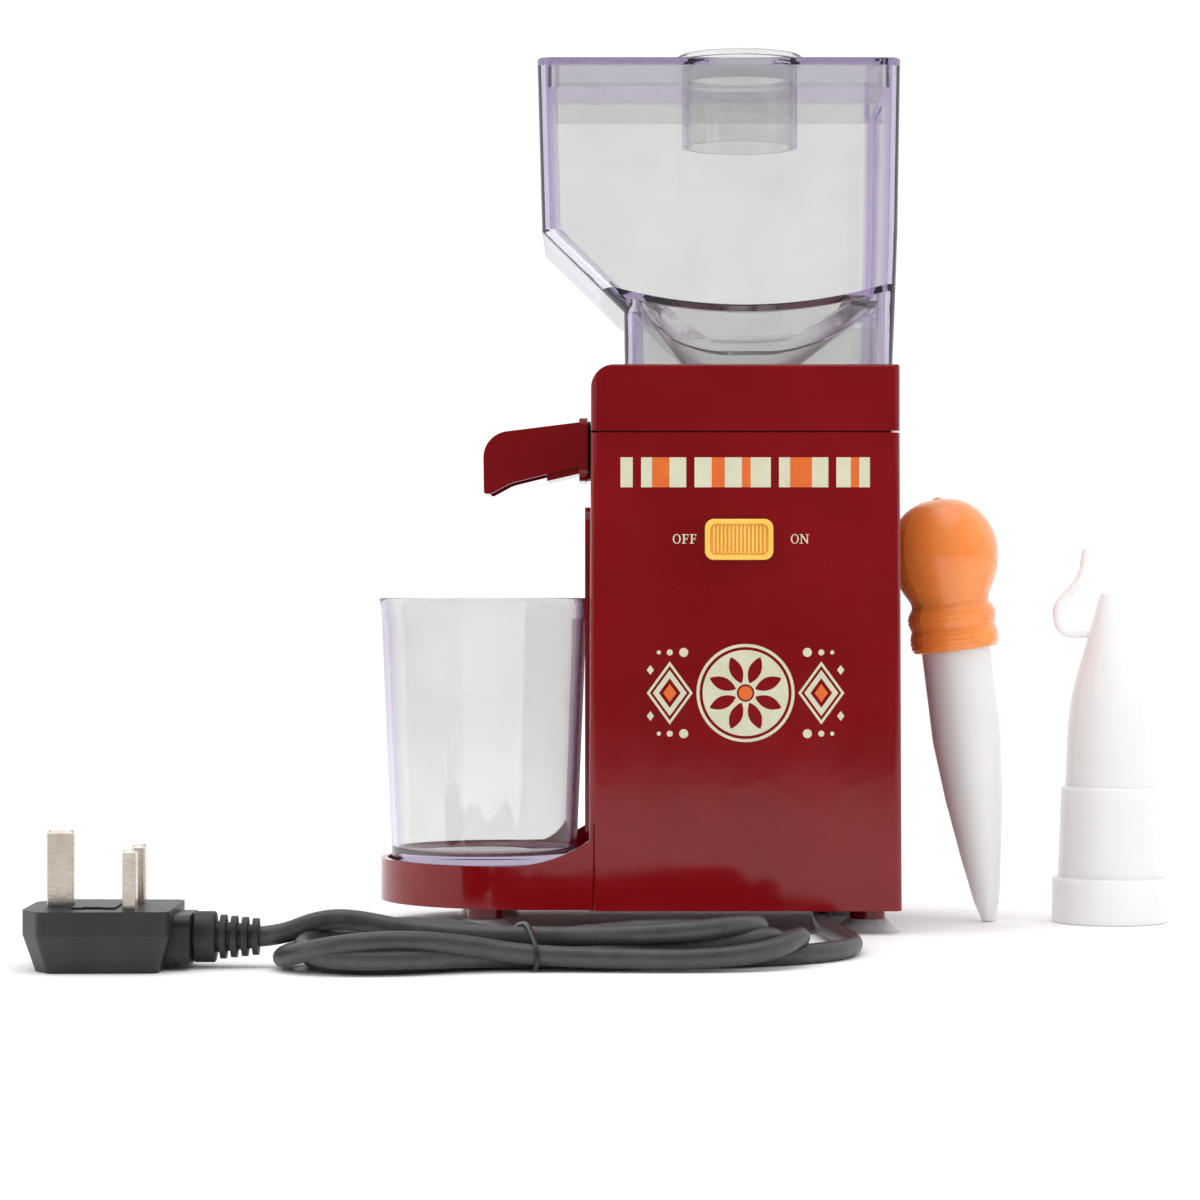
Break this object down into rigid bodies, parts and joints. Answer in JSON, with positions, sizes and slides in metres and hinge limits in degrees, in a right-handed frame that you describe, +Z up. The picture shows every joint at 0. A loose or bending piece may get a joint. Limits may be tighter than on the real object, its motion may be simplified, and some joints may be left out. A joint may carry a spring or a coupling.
{
  "type": "nut butter grinder",
  "caption": "Countertop nut grinder: glossy housing with burr motor, clear hopper with necked lid, side spout over a clear cup on a tray, slide switch, oil dropper with sleeve, mains lead.",
  "frame": {"origin": "bottom centre of the object without its cord, on the surface it stands on", "axes": "+Z up; -Y out of the face with the switch; -X towards the spout and the cup"},
  "size_m": [0.3672, 0.2396, 0.2976],
  "materials": {
    "red_shell": "glossy",
    "inner_moulding": "matte",
    "clear_plastic": "clear, glossy",
    "milky_plastic": "translucent, satin",
    "orange_rubber": "satin",
    "orange_button": "satin",
    "foot_rubber": "soft, milky",
    "black_rubber": "satin",
    "cord_sheath": "satin",
    "plug_moulding": "satin",
    "fuse_drawer": "satin",
    "pin_brass": "bright",
    "bronze": "sintered",
    "steel": "machined",
    "can_steel": "plated",
    "magnet": "dull",
    "fan_plastic": "matte",
    "board": "lacquered"
  },
  "bodies": {
    "housing": {"front_cover": "red_shell", "rear_cover": "red_shell", "head_cover": "red_shell", "side_guide": "red_shell", "cup_tray": "red_shell", "bottom_plate": "red_shell", "outlet_gasket": "black_rubber", "grinding_chamber": "inner_moulding", "chamber_cap": "inner_moulding", "fixed_burr": "steel", "bearing_bush": "bronze", "shaft_seal": "black_rubber", "motor_can": "can_steel", "motor_end_cap": "can_steel", "motor_mount_plate": "steel", "switch_housing": "inner_moulding", "circuit_board": "board", "capacitor": "fan_plastic", "cord_boot": "black_rubber", "cord_clamp": "inner_moulding", "stator_magnet_1": "magnet", "stator_magnet_2": "magnet", "suction_foot_1": "foot_rubber", "suction_foot_2": "foot_rubber", "suction_foot_3": "foot_rubber", "suction_foot_4": "foot_rubber", "motor_post_1": "steel", "motor_post_2": "steel", "motor_post_3": "steel", "motor_post_4": "steel", "power_cord": "cord_sheath", "cord_hank": "cord_sheath", "cord_tie": "black_rubber", "plug_lead": "cord_sheath", "plug_body": "plug_moulding", "plug_fuse_carrier": "fuse_drawer", "plug_relief": "black_rubber", "plug_pin_earth": "pin_brass", "plug_pin_live": "pin_brass", "plug_pin_neutral": "pin_brass"},
    "rotor": {"rotating_burr": "steel", "feed_screw": "steel", "grinder_spindle": "steel", "drive_coupling": "fan_plastic", "motor_shaft": "steel", "rotor_core": "steel", "cooling_fan": "fan_plastic"},
    "switch": {"switch_button": "orange_button", "switch_slider": "inner_moulding"},
    "spout": {"spout": "red_shell"},
    "hopper": {"hopper": "clear_plastic"},
    "lid": {"hopper_lid": "clear_plastic"},
    "cup": {"cup": "clear_plastic"},
    "dropper": {"dropper_tube": "milky_plastic", "dropper_bulb": "orange_rubber"},
    "dropper_sleeve": {"dropper_sleeve": "milky_plastic"}
  },
  "joints": [
    {"name": "grinder_spin", "type": "hinge", "parent": "housing", "child": "rotor", "pos_m": [-0.0116, 0.00157, 0.1], "axis": [0, 0, 1], "continuous": true},
    {"name": "switch_slide", "type": "slide", "parent": "housing", "child": "switch", "axis": [1, 0, 0], "range_m": [0, 0.0035]},
    {"name": "spout_pull", "type": "slide", "parent": "housing", "child": "spout", "axis": [-1, 0, 0], "range_m": [0, 0.016]},
    {"name": "hopper_lift", "type": "slide", "parent": "housing", "child": "hopper", "axis": [0, 0, 1], "range_m": [0, 0.05]},
    {"name": "lid_lift", "type": "slide", "parent": "hopper", "child": "lid", "axis": [0, 0, 1], "range_m": [0, 0.05]},
    {"name": "cup_lift", "type": "slide", "parent": "housing", "child": "cup", "axis": [0, 0, 1], "range_m": [0, 0.025]},
    {"name": "dropper_lift", "type": "slide", "parent": "housing", "child": "dropper", "axis": [0, 0, 1], "range_m": [0, 0.06]},
    {"name": "sleeve_lift", "type": "slide", "parent": "housing", "child": "dropper_sleeve", "axis": [0, 0, 1], "range_m": [0, 0.06]}
  ]
}
